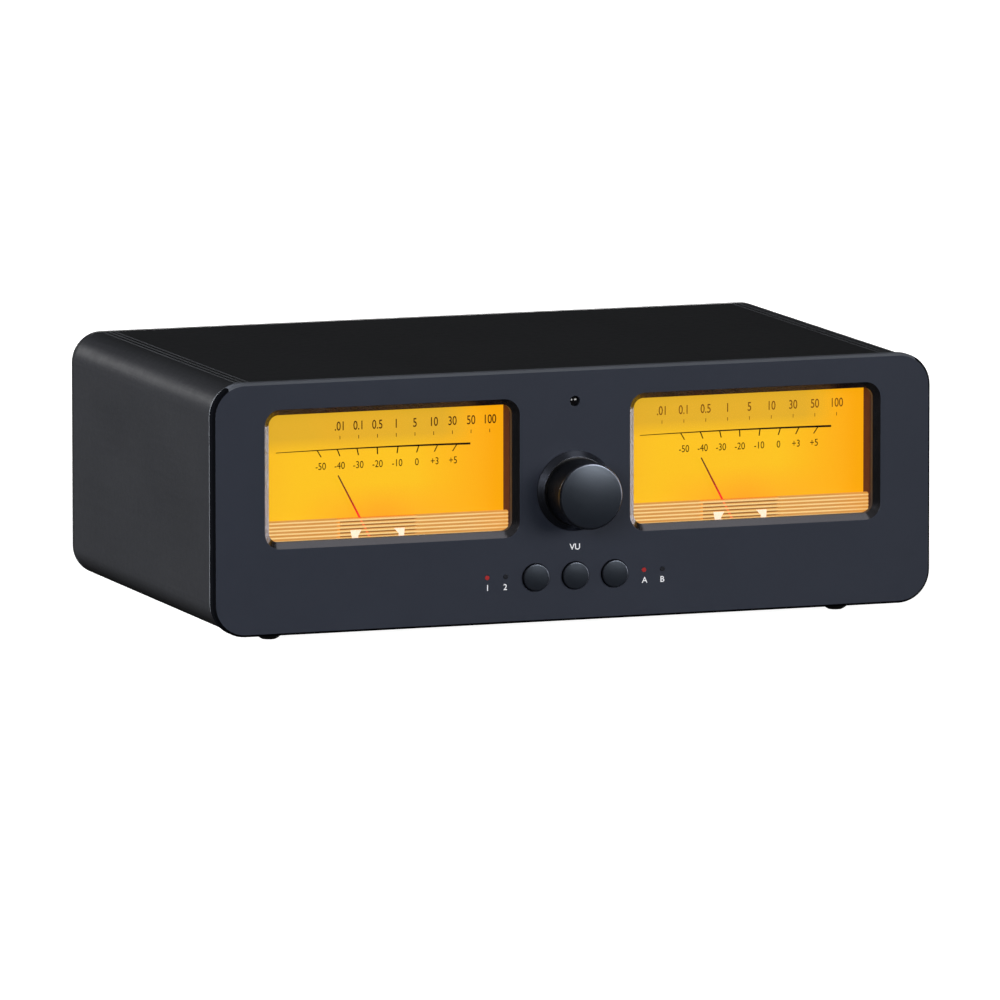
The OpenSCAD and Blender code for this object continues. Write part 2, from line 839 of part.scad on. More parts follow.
module wiring_looms() {
    mains_r = 1.6;
    signal_r = 1;
    link_y = control_y + pcb_t;
    lamp_y = housing_end_y + pcb_t;
    wire_y = case_d - 15.1;
    stud_low_y = case_d - 12;
    color("#8c1d18")
    union() {
        // mains: inlet to switch, switch to transformer
        cable([[-102, 129, 27], [-102, 125, 27], [-98, 130, 60], [-98, 141, 60]], mains_r);
        cable([[-92, 141, 65], [-92, 134, 65], [-92, 126, 30], [-89.1, 120.7, 26]], mains_r);
        // transformer to main board
        cable([[-22, 84, 20], [-9.5, 84, 20], [-9.5, 84, main_top_h]], mains_r);
        // main board to control board
        cable([[0, 42, main_top_h], [0, 42, 17], [0, 22, 17], [0, 22, 12], [0, link_y, 12]], signal_r);
        // control board to the lamps and movements of both meters
        mirrored()
            cable([[60, lamp_y, 28], [60, 27, 28], [40, 27, 14.5], [30, 27, 12], [30, link_y, 12]], signal_r);
        // phono sockets to main board
        for (x = phono_columns)
            cable([[x, wire_y, 57], [x, wire_y, main_top_h]], signal_r);
        // speaker terminals to main board
        for (x = terminal_columns) {
            cable([[x, stud_low_y, terminal_rows[1]], [x, wire_y, terminal_rows[1]],
                [x, wire_y, main_top_h]], signal_r);
            cable([[x, stud_low_y, terminal_rows[0]], [x, wire_y, terminal_rows[0]],
                [x + terminal_pitch / 2, wire_y, 40],
                [x + terminal_pitch / 2, wire_y, main_top_h]], signal_r);
        }
    }
}

// ---------------------------------------------------------------- rear panel fittings

module phono_sockets() {
    color("#c9a54a")
    for (p = phono_spots)
        difference() {
            union() {
                rod(p.x, p.y, case_d - 14, phono_barrel_y + 0.1, phono_body_r);
                rod(p.x, p.y, phono_barrel_y, phono_end_y, phono_r);
                translate([p.x, front_y + sleeve_end_y - 3, up(p.y)])
                    rotate([-90, 0, 0]) cylinder(h = 3, r = 7, $fn = 6);
            }
            rod(p.x, p.y, case_d - 6, case_d + 20, phono_r - 0.9);
        }
}

module phono_insulators() {
    color("#d8d8d2")
    for (p = phono_spots) {
        difference() {
            union() {
                rod(p.x, p.y, case_d, case_d + phono_flange_t, 6.4);
                rod(p.x, p.y, sleeve_end_y, case_d + 0.1, 5.1);
            }
            rod(p.x, p.y, 0, case_d + 20, phono_body_r + 0.02);
        }
        difference() {
            rod(p.x, p.y, case_d - 5.9, phono_end_y - 0.6, phono_r - 0.95);
            rod(p.x, p.y, case_d - 4, case_d + 20, 1.6);
        }
    }
}

module power_inlet() {
    color("#131314")
    difference() {
        union() {
            from_outline(case_d, case_d + 2.6)
                translate([inlet_x, inlet_h]) rounded(33, 26, 3);
            block([inlet_x - 13.8, case_d - 22, inlet_h - 10.3],
                [inlet_x + 13.8, case_d + 0.1, inlet_h + 10.3]);
        }
        from_outline(case_d - 14, case_d + 3)
            translate([inlet_x, inlet_h])
                polygon([[-12, -4], [-7.5, -8.2], [7.5, -8.2], [12, -4], [12, 8.2], [-12, 8.2]]);
        for (p = inlet_pin_spots())
            block([p.x - 1.05, 0, p.y - 2.05], [p.x + 1.05, case_d, p.y + 2.05]);
    }
}

function inlet_pin_spots() = [for (p = [[-7, -2], [0, 2.2], [7, -2]]) [inlet_x + p.x, inlet_h + p.y]];

module inlet_pins() {
    color("silver")
    for (p = inlet_pin_spots())
        block([p.x - 1, case_d - 28, p.y - 2], [p.x + 1, case_d - 1.5, p.y + 2]);
}

module power_switch_frame() {
    color("#131314")
    difference() {
        union() {
            block([inlet_x - 11, case_d, rocker_h - 8], [inlet_x + 11, case_d + 1.8, rocker_h + 8]);
            block([inlet_x - 9.5, case_d - 16, rocker_h - 6.5],
                [inlet_x + 9.5, case_d + 0.1, rocker_h + 6.5]);
        }
        block([inlet_x - 8, case_d - 9, rocker_h - 5.2], [inlet_x + 8, case_d + 3, rocker_h + 5.2]);
        for (s = [-1, 1])
            translate([inlet_x + s * 8.2, front_y + case_d - 1, up(rocker_h)])
                rotate([0, 90, 0]) cylinder(h = 2, r = 1.05, center = true);
    }
}

// A rocker that tips about a sideways pin, pressed in at the top while the set is on
module power_rocker() {
    tilt = 11;
    color("#1b1b1c")
    translate([inlet_x, front_y + case_d - 1, up(rocker_h)])
        union() {
            rotate([tilt, 0, 0])
                rotate([90, 0, 90])
                    linear_extrude(15.4, center = true)
                        polygon([[-3.2, -1.6], [1.4, -4.6], [3.6, -4.4], [2.2, 0], [3.6, 4.4],
                            [1.4, 4.6], [-3.2, 1.6]]);
            rotate([0, 90, 0]) cylinder(h = 17.6, r = 1, center = true);
        }
}

module terminal_studs() {
    color("#caa64c")
    for (x = terminal_columns, h = terminal_rows)
        difference() {
            union() {
                rod(x, h, case_d - 12, stud_end_y, stud_d / 2);
                translate([x, front_y + sleeve_end_y - 4.6, up(h)])
                    rotate([-90, 0, 0]) cylinder(h = 3, r = 5, $fn = 6);
            }
            rod(x, h, stud_end_y - socket_len, stud_end_y + 1, socket_d / 2);
        }
}

module terminal_bases() {
    color("#1a1a1a")
    for (x = terminal_columns, h = terminal_rows)
        difference() {
            union() {
                rod(x, h, case_d, case_d + base_t, cap_d / 2 + 0.6);
                rod(x, h, sleeve_end_y - 1.5, case_d + 0.1, 4.1);
            }
            rod(x, h, 0, case_d + 20, stud_d / 2 + 0.02);
        }
}

module terminal_cap(column, row, tint) {
    y0 = case_d + base_t + 0.2;
    y1 = case_d + terminal_proud;
    r = cap_d / 2;
    flutes = 14;
    x = terminal_columns[column];
    h = terminal_rows[row];
    color(tint)
    difference() {
        union() {
            from_outline(y0 + 2, y1 - 1)
                translate([x, h])
                    difference() {
                        circle(r);
                        for (i = [0:flutes - 1])
                            rotate([0, 0, i * 360 / flutes])
                                translate([r + 0.5, 0]) circle(1.2, $fn = 24);
                    }
            rod(x, h, y0, y0 + 2, r);
            rod(x, h, y1 - 1, y1, r - 0.7, r - 1.7);
        }
        rod(x, h, y0 - 1, y1 + 1, stud_d / 2 + 0.05);
    }
}

red_cap = "#a51d18";
black_cap = "#18181a";

// ---------------------------------------------------------------- nodes

front_plate();
case_sleeve();
rear_panel();
front_carrier();
chassis_tray();
rubber_feet();
tray_screws();
carrier_screws();
plate_screws();
rear_screws();
meter_housing(-1);  // meter_housing_left
meter_housing(1);  // meter_housing_right
meter_glass(-1);  // meter_glass_left
meter_glass(1);  // meter_glass_right
meter_dial(-1);  // meter_dial_left
meter_dial(1);  // meter_dial_right
meter_light_bars();
meter_movements();
needle(-1);  // needle_left
needle(1);  // needle_right
meter_backlights();
volume_knob();
knob_collar();
volume_shaft();
volume_control();
volume_nut();
button(-1);  // button_left
button(0);  // button_centre
button(1);  // button_right
tact_switches();
indicator_pipes();
remote_window();
remote_receiver();
control_board();
main_board();
board_supports();
heatsink();
output_transistors();
filter_capacitors();
output_inductors();
speaker_relays();
toroid_transformer();
toroid_clamp();
wiring_looms();
phono_sockets();
phono_insulators();
power_inlet();
inlet_pins();
power_switch_frame();
power_rocker();
terminal_studs();
terminal_bases();
terminal_cap(0, 0, red_cap);  // terminal_cap_a1
terminal_cap(1, 0, black_cap);  // terminal_cap_a2
terminal_cap(2, 0, red_cap);  // terminal_cap_a3
terminal_cap(3, 0, black_cap);  // terminal_cap_a4
terminal_cap(0, 1, red_cap);  // terminal_cap_b1
terminal_cap(1, 1, black_cap);  // terminal_cap_b2
terminal_cap(2, 1, red_cap);  // terminal_cap_b3
terminal_cap(3, 1, black_cap);  // terminal_cap_b4
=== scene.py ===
"""The looks of a small stereo amplifier with two lit level meters.

Lengths written as millimetres use the case's own scale: x from the middle, depth behind the
front plate's face, height above the front plate's bottom edge.
"""

import json
import math
import re

import bmesh
import bpy
from mathutils import Matrix, Vector


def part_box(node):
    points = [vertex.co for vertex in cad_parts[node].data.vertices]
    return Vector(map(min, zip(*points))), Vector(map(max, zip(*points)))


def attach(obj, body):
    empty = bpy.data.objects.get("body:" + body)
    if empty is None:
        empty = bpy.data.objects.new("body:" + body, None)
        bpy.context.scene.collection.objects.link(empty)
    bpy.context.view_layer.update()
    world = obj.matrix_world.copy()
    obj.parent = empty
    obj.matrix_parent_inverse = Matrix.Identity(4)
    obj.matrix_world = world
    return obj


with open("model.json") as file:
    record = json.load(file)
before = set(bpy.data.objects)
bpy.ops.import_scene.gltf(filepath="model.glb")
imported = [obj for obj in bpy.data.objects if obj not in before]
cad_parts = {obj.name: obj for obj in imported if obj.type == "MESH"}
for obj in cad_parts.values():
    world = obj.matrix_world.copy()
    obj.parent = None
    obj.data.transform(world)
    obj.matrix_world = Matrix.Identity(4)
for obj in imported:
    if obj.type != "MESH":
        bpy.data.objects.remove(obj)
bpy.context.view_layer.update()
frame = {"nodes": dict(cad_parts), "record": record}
MM = 0.001
PLATE_LOW, PLATE_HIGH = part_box("front_plate")


def place(x, depth, height):
    """A point in the row frame from millimetres of x, depth and height."""
    return Vector((x * MM, PLATE_LOW.y + depth * MM, PLATE_LOW.z + height * MM))


def centre(node):
    """The middle of a CAD node, as (x, depth, height) in millimetres."""
    low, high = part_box(node)
    mid = (low + high) / 2
    return mid.x / MM, (mid.y - PLATE_LOW.y) / MM, (mid.z - PLATE_LOW.z) / MM


METER_X = centre("meter_dial_right")[0]
# The light bars: height of the lowest rib, and from one rib to the next.
RIB_LOW = 31.15
RIB_PITCH = 1.25
# The dials: height of the scale's line at its middle, and half its length.
SCALE_H = 61.3
SCALE_HALF = 38
# Heights of the two rows of numbers, and of the ticks under the upper one.
LOWER_H = 55.5
UPPER_H = 69.0
UPPER_TICKS = 64.6, 65.8
TICK = 2.4
# From the scale's line down to the needle's pivot, which the ticks point at.
TO_PIVOT = 39.5
# A capital's height in the built-in font, as a part of the font's size.
CAPITAL = 0.69
# Radius of the hidden flange of an indicator's light pipe, in metres.
FLANGE = 0.0013


def linear(red, green, blue):
    """A colour given as screen values from 0 to 255, as the linear values that Cycles uses."""
    def one(value):
        value /= 255
        return value / 12.92 if value <= 0.04045 else ((value + 0.055) / 1.055) ** 2.4
    return one(red), one(green), one(blue), 1.0


# ---------------------------------------------------------------- node helpers


class Shader:
    """A material whose nodes are added one line at a time."""

    def __init__(self, name):
        self.material = bpy.data.materials.new(name)
        self.material.use_nodes = True
        self.tree = self.material.node_tree
        self.tree.nodes.clear()
        self.output = self.tree.nodes.new("ShaderNodeOutputMaterial")

    def add(self, kind, inputs=None, **settings):
        """Adds a node; inputs maps a socket's name or number to a value or to another node's socket."""
        node = self.tree.nodes.new("ShaderNode" + kind)
        for key, value in settings.items():
            setattr(node, key, value)
        for key, value in (inputs or {}).items():
            if isinstance(value, bpy.types.NodeSocket):
                self.tree.links.new(value, node.inputs[key])
            else:
                node.inputs[key].default_value = value
        return node

    def coordinates(self):
        return self.add("TexCoord").outputs["Object"]

    def noise(self, size, stretch=(1, 1, 1), detail=3.0, roughness=0.55):
        """Noise whose blotches are about size metres across, stretched along each axis."""
        scaled = self.add("Mapping", {"Vector": self.coordinates(),
                                      "Scale": [1 / (size * s) for s in stretch]})
        return self.add("TexNoise", {"Vector": scaled.outputs[0], "Scale": 1.0,
                                     "Detail": detail, "Roughness": roughness}).outputs["Fac"]

    def spread(self, value, low, high, out_low=0.0, out_high=1.0):
        """Maps low..high to out_low..out_high, clamped."""
        return self.add("MapRange", {"Value": value, "From Min": low, "From Max": high,
                                     "To Min": out_low, "To Max": out_high}).outputs[0]

    def mix(self, factor, first, second):
        """Mixes two colours."""
        node = self.add("Mix", {0: factor, 6: first, 7: second}, data_type="RGBA")
        return node.outputs[2]

    def math(self, operation, first, second=0.0):
        return self.add("Math", {0: first, 1: second}, operation=operation).outputs[0]

    def rounded_normal(self, radius=0.0002):
        return self.add("Bevel", {"Radius": radius}, samples=4).outputs[0]

    def bump(self, height, depth, edge=0.0002, strength=1.0):
        """A bump of the given depth in metres, over edges softened by a small radius."""
        return self.add("Bump", {"Height": height, "Distance": depth, "Strength": strength,
                                 "Normal": self.rounded_normal(edge)}).outputs[0]

    def surface(self, socket):
        self.tree.links.new(socket, self.output.inputs["Surface"])
        return self.material


def shade(colour, factor):
    return tuple(c * factor for c in colour[:3]) + (1.0,)


def finish_of(name, colour, rough, grain=0.0002, depth=0.00001, stretch=(1, 1, 1), metal=0.0,
              vary=0.12, coat=0.0, specular=0.5, edge=0.0002, tint=None):
    """A solid finish: its colour varies slowly, its roughness in patches, and a fine grain bumps it."""
    s = Shader(name)
    patches = s.noise(0.03)
    dust = s.noise(0.004, detail=5.0)
    fine = s.noise(grain, stretch, detail=2.0)
    base = s.mix(s.spread(patches, 0.3, 0.7), shade(colour, 1 - vary), shade(colour, 1 + vary))
    base = s.mix(s.spread(fine, 0.3, 0.8, 0.0, 0.25), base, tint or shade(colour, 1.25))
    roughness = s.math("ADD", s.spread(dust, 0.3, 0.7, rough * 0.88, rough * 1.1),
                       s.spread(fine, 0.3, 0.7, -0.03, 0.03))
    body = s.add("BsdfPrincipled", {
        "Base Color": base, "Roughness": roughness, "Metallic": metal, "Coat Weight": coat,
        "Coat Roughness": 0.12, "Specular IOR Level": specular,
        "Normal": s.bump(fine, depth, edge)})
    return s.surface(body.outputs[0])


# ---------------------------------------------------------------- materials


def spot_on_meter(s):
    """Metres to the right of a meter's middle, and metres above the plate's bottom edge."""
    x, _, z = s.add("SeparateXYZ", {0: s.coordinates()}).outputs
    middle = s.math("MULTIPLY", s.math("SIGN", x), METER_X * MM)
    return s.math("SUBTRACT", x, middle), s.math("SUBTRACT", z, PLATE_LOW.z)


def brushed_sleeve():
    """Black anodised extrusion with fine die lines along it; a painted highlight line near its front
    end, and painted shade that makes it darker on top and near black below.
    """
    s = Shader("sleeve_black")
    lines = s.noise(0.00025, (1, 400, 1), detail=3.0, roughness=0.7)
    patches = s.noise(0.04, (1, 2, 1))
    dust = s.noise(0.003, detail=5.0)
    base = s.mix(s.spread(patches, 0.3, 0.7), linear(42, 43, 46), linear(48, 49, 52))
    base = s.mix(s.spread(lines, 0.35, 0.75, 0.0, 0.3), base, linear(56, 57, 61))
    up = s.add("SeparateXYZ", {0: s.add("NewGeometry").outputs["Normal"]}).outputs[2]
    # Painted shade: faces turned down are painted near black and faces turned up darker, standing in
    # for how little light reaches them.
    painted_shade_below = s.spread(up, -0.15, -0.80)
    painted_shade_on_top = s.spread(up, 0.60, 0.98, 0.0, 0.45)
    base = s.mix(painted_shade_below, base, linear(6, 6, 7))
    base = s.mix(painted_shade_on_top, base, linear(14, 17, 22))
    depth = s.math("SUBTRACT", s.add("SeparateXYZ", {0: s.coordinates()}).outputs[1], PLATE_LOW.y)
    # A painted highlight: a light line round the sleeve 6.3 mm behind the plate's face, standing in for
    # a front chamfer catching the light.
    painted_highlight_depth = 0.0063
    rim = s.spread(s.math("ABSOLUTE", s.math("SUBTRACT", depth, painted_highlight_depth)), 0.0004, 0.0002)
    base = s.mix(rim, base, linear(118, 122, 128))
    roughness = s.math("ADD", s.spread(dust, 0.3, 0.7, 0.33, 0.41),
                       s.spread(lines, 0.3, 0.7, -0.03, 0.03))
    body = s.add("BsdfPrincipled", {
        "Base Color": base, "Roughness": roughness, "Metallic": 0.25,
        "Specular IOR Level": 0.4, "Normal": s.bump(lines, 0.000006, 0.00015)})
    return s.surface(body.outputs[0])


def dial_face():
    """Amber dial lit from behind: olive on top, yellow in the middle, orange at the foot and right."""
    s = Shader("dial_amber")
    side, high = spot_on_meter(s)
    cloud = s.noise(0.02, detail=2.0)
    fine = s.noise(0.0006, detail=2.0)
    right_end = s.spread(side, 0.012, 0.040)
    left_end = s.spread(side, -0.030, -0.046, 0.0, 0.7)
    glow = s.mix(right_end, linear(251, 198, 30), linear(253, 172, 10))
    glow = s.mix(left_end, glow, linear(250, 188, 36))
    lower = s.math("MULTIPLY", s.spread(high, 0.049, 0.034),
                   s.spread(s.math("ABSOLUTE", side), 0.034, 0.002))
    glow = s.mix(lower, glow, linear(254, 156, 34))
    upper = s.math("MULTIPLY", s.spread(high, 0.060, 0.0655), s.spread(side, 0.034, 0.022))
    glow = s.mix(s.math("MULTIPLY", upper, 0.8), glow, linear(216, 170, 44))
    glow = s.mix(s.spread(cloud, 0.35, 0.7, 0.0, 0.10), glow, linear(255, 176, 30))
    glow = s.mix(s.spread(fine, 0.4, 0.8, 0.0, 0.05), glow, linear(200, 140, 20))
    paint = s.add("BsdfPrincipled", {
        "Base Color": shade(linear(120, 70, 6), 0.5), "Roughness": s.spread(fine, 0.3, 0.7, 0.5, 0.6),
        "Specular IOR Level": 0.15, "Normal": s.bump(fine, 0.000006, 0.00005)})
    light = s.add("Emission", {"Color": glow, "Strength": 0.97})
    both = s.add("AddShader", {0: paint.outputs[0], 1: light.outputs[0]})
    return s.surface(both.outputs[0])


def light_bar():
    """Ribbed plastic carrying amber light: bright along each rib, clear between ribs in the middle."""
    s = Shader("light_bar")
    side, high = spot_on_meter(s)
    turn = s.math("DIVIDE", s.math("SUBTRACT", high, RIB_LOW * MM), RIB_PITCH * MM)
    crest = s.spread(s.math("PINGPONG", turn, 0.5), 0.30, 0.12)
    streak = s.noise(0.0006, (12, 1, 1), detail=2.0)
    right_end = s.spread(side, 0.030, 0.046, 0.0, 0.4)
    colour = s.mix(crest, linear(204, 142, 66), linear(255, 222, 150))
    colour = s.mix(right_end, colour, linear(246, 160, 50))
    colour = s.mix(s.spread(streak, 0.35, 0.75, 0.0, 0.12), colour, linear(255, 220, 170))
    light = s.add("Emission", {"Color": colour, "Strength": 0.92})
    gloss = s.add("BsdfPrincipled", {
        "Base Color": linear(90, 50, 20), "Roughness": 0.3, "Specular IOR Level": 0.25,
        "Normal": s.bump(streak, 0.00001, 0.00005)})
    lit = s.add("AddShader", {0: gloss.outputs[0], 1: light.outputs[0]})
    clear = s.add("BsdfTransparent", {"Color": linear(255, 232, 206)})
    clear_left_of_middle = 0.0033
    from_clear = s.math("ABSOLUTE", s.math("ADD", side, clear_left_of_middle))
    hollow = s.math("MULTIPLY", s.spread(from_clear, 0.0152, 0.0138), s.math("SUBTRACT", 1.0, crest))
    opacity = s.math("SUBTRACT", 0.96, s.math("MULTIPLY", hollow, 0.76))
    mixed = s.add("MixShader", {0: opacity, 1: clear.outputs[0], 2: lit.outputs[0]})
    return s.surface(mixed.outputs[0])


def meter_glass():
    """Thin clear window: nearly all light passes, with a faint reflection and a little dust."""
    s = Shader("meter_glass")
    dust = s.noise(0.002, detail=6.0)
    mirror = s.add("BsdfGlossy", {"Color": (0.9, 0.93, 1.0, 1.0),
                                  "Roughness": s.spread(dust, 0.3, 0.8, 0.02, 0.07)})
    clear = s.add("BsdfTransparent", {"Color": (1.0, 0.995, 0.985, 1.0)})
    fresnel = s.add("Fresnel", {"IOR": 1.35}).outputs[0]
    amount = s.math("MULTIPLY", fresnel, s.spread(dust, 0.3, 0.8, 0.5, 0.7))
    mixed = s.add("MixShader", {0: amount, 1: clear.outputs[0], 2: mirror.outputs[0]})
    return s.surface(mixed.outputs[0])


def lamp(name, colour, strength, body_colour):
    """A small lit lens, brighter at its heart."""
    s = Shader(name)
    fine = s.noise(0.0004, detail=2.0)
    facing = s.add("LayerWeight", {"Blend": 0.4}).outputs["Facing"]
    power = s.math("MULTIPLY", s.spread(facing, 0.0, 0.8, strength, strength * 0.35),
                   s.spread(fine, 0.3, 0.7, 0.9, 1.1))
    light = s.add("Emission", {"Color": colour, "Strength": power})
    lens = s.add("BsdfPrincipled", {"Base Color": body_colour, "Roughness": 0.2, "Coat Weight": 0.4,
                                    "Normal": s.bump(fine, 0.000004, 0.0001)})
    both = s.add("AddShader", {0: lens.outputs[0], 1: light.outputs[0]})
    return s.surface(both.outputs[0])


def needle_paint():
    """Red paint, darker towards the tip; its foot has a painted glow for the light it catches from the
    lamps below.
    """
    s = Shader("needle_red")
    height = s.math("SUBTRACT", s.add("SeparateXYZ", {0: s.coordinates()}).outputs[2], PLATE_LOW.z)
    fine = s.noise(0.0003, detail=2.0)
    towards_tip = s.spread(height, 0.039, 0.051)
    painted_foot_glow = s.spread(height, 0.044, 0.037, 0.0, 0.8)
    colour = s.mix(towards_tip, linear(226, 16, 16), linear(66, 22, 8))
    colour = s.mix(s.spread(fine, 0.3, 0.8, 0.0, 0.2), colour, linear(110, 14, 8))
    body = s.add("BsdfPrincipled", {
        "Base Color": colour, "Roughness": s.spread(fine, 0.3, 0.7, 0.4, 0.5),
        "Emission Color": linear(216, 20, 18), "Emission Strength": painted_foot_glow,
        "Normal": s.bump(fine, 0.000003, 0.00003)})
    return s.surface(body.outputs[0])


def dome_normal(s, moved, radius, dome):
    """The mesh normal, but the true one of the dome near its pole, where the triangles are thin."""
    lean = s.add("VectorMath", {0: moved, 1: (1 / dome, 0, 1 / dome)}, operation="MULTIPLY").outputs[0]
    tilted = s.add("VectorMath", {0: lean, 1: (0, -1, 0)}, operation="ADD").outputs[0]
    true = s.add("VectorTransform", {0: tilted}, vector_type="NORMAL", convert_from="OBJECT",
                 convert_to="WORLD").outputs[0]
    near = s.spread(radius, 0.0034, 0.0024)
    node = s.add("Mix", {0: near, 4: s.rounded_normal(0.00015), 5: true}, data_type="VECTOR")
    return s.add("VectorMath", {0: node.outputs[1]}, operation="NORMALIZE").outputs[0]


def turned_metal(name, colour, rough, node, dome, metal=0.3, specular=0.5):
    """Anodised metal turned about the depth axis through a node: faint rings round that axis."""
    x, _, height = centre(node)
    hub = place(x, 0, height)
    s = Shader(name)
    moved = s.add("VectorMath", {0: s.coordinates(), 1: hub}, operation="SUBTRACT").outputs[0]
    flat = s.add("VectorMath", {0: moved, 1: (1, 0, 1)}, operation="MULTIPLY").outputs[0]
    radius = s.add("VectorMath", {0: flat}, operation="LENGTH").outputs["Value"]
    rings = s.add("TexNoise", {"W": s.math("MULTIPLY", radius, 9000), "Detail": 2.0, "Scale": 1.0},
                  noise_dimensions="1D").outputs["Fac"]
    dust = s.noise(0.003, detail=5.0)
    base = s.mix(s.spread(rings, 0.3, 0.7), shade(colour, 0.9), shade(colour, 1.12))
    roughness = s.math("ADD", s.spread(dust, 0.3, 0.7, rough * 0.97, rough * 1.03),
                       s.spread(rings, 0.3, 0.7, -0.012, 0.012))
    grain = s.add("Bump", {"Height": rings, "Distance": 0.000004,
                           "Normal": dome_normal(s, moved, radius, dome)}).outputs[0]
    body = s.add("BsdfPrincipled", {
        "Base Color": base, "Roughness": roughness, "Metallic": metal, "Normal": grain,
        "Specular IOR Level": specular, "Specular Tint": (0.76, 0.86, 1.0, 1.0)})
    return s.surface(body.outputs[0])


FINISHES = {
    "dark_anodised": finish_of("dark_anodised", linear(44, 49, 62), 0.46, 0.00016, 0.000012,
                               metal=0.15, vary=0.04, specular=0.3, edge=0.00025),
    "sleeve_black": brushed_sleeve(),
    "panel_black": finish_of("panel_black", linear(32, 33, 35), 0.55, 0.0004, 0.00003, vary=0.08),
    "zinc_steel": finish_of("zinc_steel", linear(180, 182, 184), 0.35, 0.002, 0.00001, metal=1.0),
    "screw_black": finish_of("screw_black", linear(58, 58, 62), 0.32, 0.0003, 0.00001, metal=0.9),
    "screw_bright": finish_of("screw_bright", linear(190, 190, 192), 0.3, 0.0003, 0.00001, metal=1.0),
    "black_plastic": finish_of("black_plastic", linear(22, 22, 24), 0.42, 0.0003, 0.00002),
    "gloss_black_plastic": finish_of("gloss_black_plastic", linear(18, 18, 20), 0.16, 0.0006, 0.000004,
                                     coat=0.4),
    "red_plastic": finish_of("red_plastic", linear(150, 18, 16), 0.2, 0.0006, 0.000004, coat=0.4),
    "white_plastic": finish_of("white_plastic", linear(216, 214, 206), 0.4, 0.0004, 0.00001),
    "rubber_black": finish_of("rubber_black", linear(20, 20, 21), 0.72, 0.0004, 0.00004),
    "meter_glass": meter_glass(),
    "dial_amber": dial_face(),
    "light_bar": light_bar(),
    "needle_red": needle_paint(),
    "movement_dark": finish_of("movement_dark", linear(92, 52, 34), 0.5, 0.0004, 0.00002),
    "board_green": finish_of("board_green", linear(28, 84, 48), 0.35, 0.001, 0.00001, coat=0.3),
    "lamp_board": finish_of("lamp_board", linear(226, 222, 206), 0.4, 0.001, 0.00001),
    "pot_body": finish_of("pot_body", linear(160, 162, 158), 0.35, 0.001, 0.00001, metal=0.9),
    "shaft_steel": finish_of("shaft_steel", linear(180, 180, 182), 0.3, 0.0003, 0.00001, metal=1.0),
    "indicator": lamp("indicator", linear(150, 42, 44), 1.0, linear(60, 10, 10)),
    "sensor_window": finish_of("sensor_window", linear(10, 9, 11), 0.06, 0.002, 0.000002, coat=1.0),
    "heatsink_metal": finish_of("heatsink_metal", linear(66, 68, 70), 0.4, 0.0004, 0.00001, metal=0.5),
    "capacitor_sleeve": finish_of("capacitor_sleeve", linear(28, 36, 54), 0.3, 0.001, 0.00001),
    "copper_winding": finish_of("copper_winding", linear(178, 98, 56), 0.35, 0.0006, 0.0001, metal=0.8),
    "relay_blue": finish_of("relay_blue", linear(28, 62, 108), 0.25, 0.001, 0.000004),
    "transformer_tape": finish_of("transformer_tape", linear(184, 140, 46), 0.3, 0.003, 0.0001),
    "wire_red": finish_of("wire_red", linear(140, 28, 24), 0.4, 0.0006, 0.00001),
    "gold_plate": finish_of("gold_plate", linear(222, 178, 96), 0.22, 0.0005, 0.000004, metal=1.0),
    "pin_metal": finish_of("pin_metal", linear(196, 196, 192), 0.25, 0.0005, 0.000004, metal=1.0),
}
# The unlit indicators' lenses keep a very faint painted glow.
DARK_LENS = lamp("indicator_off", linear(20, 22, 26), 0.02, linear(38, 40, 46))
KNOB_METAL = turned_metal("knob_metal", linear(24, 28, 36), 0.3, "volume_knob", 0.075,
                          metal=0.2, specular=0.9)
COLLAR_METAL = turned_metal("collar_metal", linear(92, 96, 108), 0.26, "knob_collar", 0.075, metal=1.0)
TURNED_RIM = finish_of("turned_rim", linear(104, 108, 120), 0.3, 0.0003, 0.000002,
                       metal=1.0, vary=0.04, edge=0.00008)
CUT_EDGE = finish_of("cut_edge", linear(130, 129, 135), 0.16, 0.0003, 0.000003,
                     metal=1.0, vary=0.04, edge=0.00008)
# Painted highlight on the top of the front plate's rim, where the light from above falls.
RIM_PAINTED_HIGHLIGHT = finish_of("rim_painted_highlight", linear(84, 88, 96), 0.4, 0.0002, 0.000004, vary=0.05, edge=0.0001)
GROOVE_CUT = finish_of("groove_cut", linear(74, 76, 80), 0.4, 0.0004, 0.000003,
                       metal=0.5, vary=0.05, edge=0.00005)
# Painted shade: near black on the knob's and buttons' sides and the collar's face, which lie in shade.
FLANK_PAINTED_SHADE = finish_of("flank_painted_shade", linear(9, 9, 11), 0.32, 0.0003, 0.000003,
                        vary=0.06, specular=0.35)
# Painted shade on the other sides of the front plate's rim, which stand in shadow.
RIM_PAINTED_SHADE = finish_of("rim_painted_shade", linear(9, 10, 13), 0.6, 0.0002, 0.000006, vary=0.06, specular=0.0)
# The meter housings are black plastic; their reddish brown colour is a painted reflection of the lit
# dial.
HOUSING_PAINTED_REFLECTION = finish_of("housing_wall", linear(98, 62, 58), 0.65, 0.0004, 0.00001,
                         vary=0.06, specular=0.1)
# The printing glows a little, so that it stands out from the dark plate as bright white paint does.
INK_LIGHT = lamp("ink_light", linear(240, 241, 245), 0.26, linear(240, 241, 245))
INK_DARK = finish_of("ink_dark", linear(20, 9, 3), 0.7, 0.0002, 0.000002, vary=0.2, specular=0.1)
INK_BROWN = finish_of("ink_brown", linear(84, 44, 12), 0.7, 0.0002, 0.000002, vary=0.2, specular=0.1)
INK_FAINT = finish_of("ink_faint", linear(150, 96, 24), 0.7, 0.0002, 0.000002, vary=0.2, specular=0.1)


